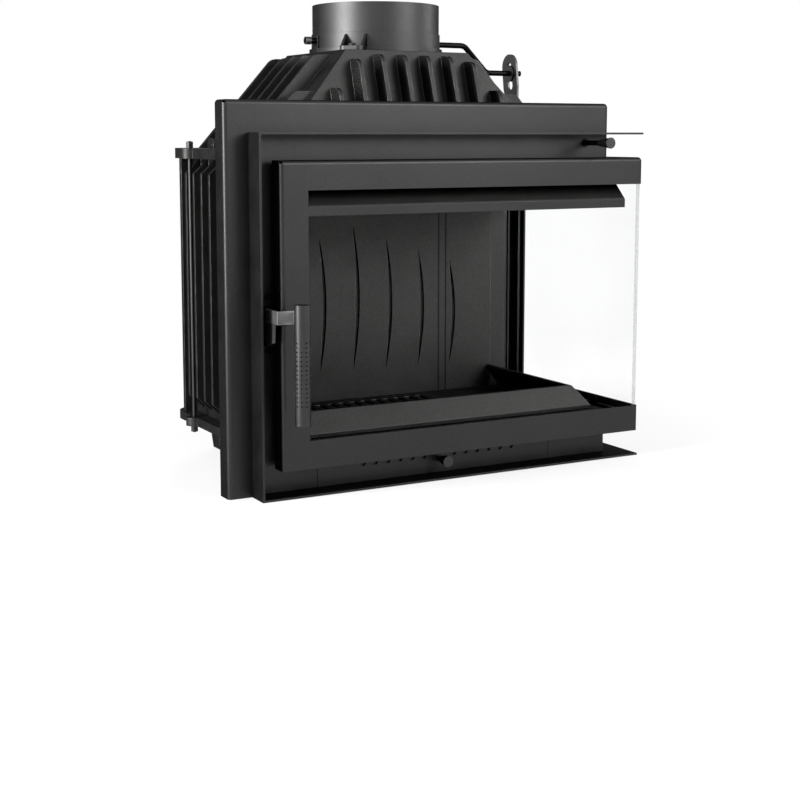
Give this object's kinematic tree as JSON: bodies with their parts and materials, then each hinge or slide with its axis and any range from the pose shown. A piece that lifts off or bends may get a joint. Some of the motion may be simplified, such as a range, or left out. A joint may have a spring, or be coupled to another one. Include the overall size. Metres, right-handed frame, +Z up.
{
  "type": "corner fireplace insert",
  "caption": "Wood-burning corner fireplace insert with a two-sided glazed hinged door, finned cast hood, flue collar with pull-rod damper, and a sliding air register.",
  "frame": {"origin": "on the floor under the middle of the insert's outline, handle included", "axes": "+Z up, -Y is the front glass face, +X is the glazed right side"},
  "size_m": [0.688, 0.507, 0.711],
  "materials": {
    "painted_steel": "satin",
    "cast_iron": "matte",
    "glass": "clear",
    "handle_steel": "satin",
    "bare_steel": "satin",
    "blackened_steel": "satin",
    "seal_rope": "braided",
    "baffle_board": "matte",
    "galvanised": "satin"
  },
  "bodies": {
    "insert": {"flange_left": "painted_steel", "flange_top": "painted_steel", "flange_rear": "painted_steel", "top_shelf": "painted_steel", "bottom_shelf": "painted_steel", "left_side_plate": "painted_steel", "rear_side_plate": "painted_steel", "air_panel": "painted_steel", "lower_corner_panel": "painted_steel", "base_casting": "cast_iron", "feet": "cast_iron", "rear_wall": "cast_iron", "left_wall": "cast_iron", "front_left_post": "cast_iron", "rear_right_post": "cast_iron", "lintel": "cast_iron", "tie_rods": "bare_steel", "tie_rod_nuts": "bare_steel", "rear_lining": "cast_iron", "left_lining": "cast_iron", "smoke_baffle": "baffle_board", "baffle_hangers": "blackened_steel", "ash_box": "painted_steel", "ash_pan": "galvanised", "log_retainer": "cast_iron", "air_deflector": "painted_steel", "hood": "cast_iron", "flue_collar": "painted_steel", "collar_bolts": "blackened_steel", "hinge_arms": "blackened_steel", "hinge_pins": "blackened_steel", "latch_strike": "blackened_steel", "strike_bolts": "blackened_steel", "rod_guide": "blackened_steel", "register_guides": "painted_steel"},
    "door": {"door_left_stile": "painted_steel", "door_rear_stile": "painted_steel", "door_top_rail": "painted_steel", "door_bottom_rail": "painted_steel", "glass_front": "glass", "glass_side": "glass", "glass_clips": "blackened_steel", "door_seal": "seal_rope", "door_hinge_bushes": "blackened_steel", "handle_pivot": "blackened_steel"},
    "handle": {"handle_tube": "handle_steel", "handle_caps": "handle_steel", "handle_bracket": "bare_steel", "latch_hook": "bare_steel"},
    "damper_control": {"damper_knob": "blackened_steel", "damper_rod": "blackened_steel", "damper_lever": "handle_steel", "lever_bolt": "blackened_steel"},
    "flue_damper": {"damper_plate": "cast_iron", "damper_shaft": "blackened_steel", "damper_washers": "handle_steel"},
    "air_register": {"register_slide": "painted_steel", "register_knob": "blackened_steel"},
    "fire_grate": {"grate": "cast_iron"}
  },
  "joints": [
    {"name": "door_hinge", "type": "hinge", "parent": "insert", "child": "door", "pos_m": [0.33, 0.1785, 0.258], "axis": [0, 0, 1], "range_deg": [0, 95]},
    {"name": "handle_lift", "type": "hinge", "parent": "door", "child": "handle", "pos_m": [-0.298, -0.1665, 0.261], "axis": [-1, 0, 0], "range_deg": [0, 40]},
    {"name": "damper_pull", "type": "slide", "parent": "insert", "child": "damper_control", "axis": [0, -1, 0], "range_m": [0, 0.059]},
    {"name": "damper_turn", "type": "hinge", "parent": "insert", "child": "flue_damper", "pos_m": [-0.0015, 0.0611, 0.655], "axis": [-1, 0, 0], "range_deg": [0, 75]},
    {"name": "register_shift", "type": "slide", "parent": "insert", "child": "air_register", "axis": [1, 0, 0], "range_m": [0, 0.01035]},
    {"name": "grate_lift", "type": "slide", "parent": "insert", "child": "fire_grate", "axis": [0, 0, 1], "range_m": [0, 0.12]}
  ],
  "couplings": [
    {"joint": "damper_turn", "follows": "damper_pull", "rad_per_m": 22.18}
  ]
}
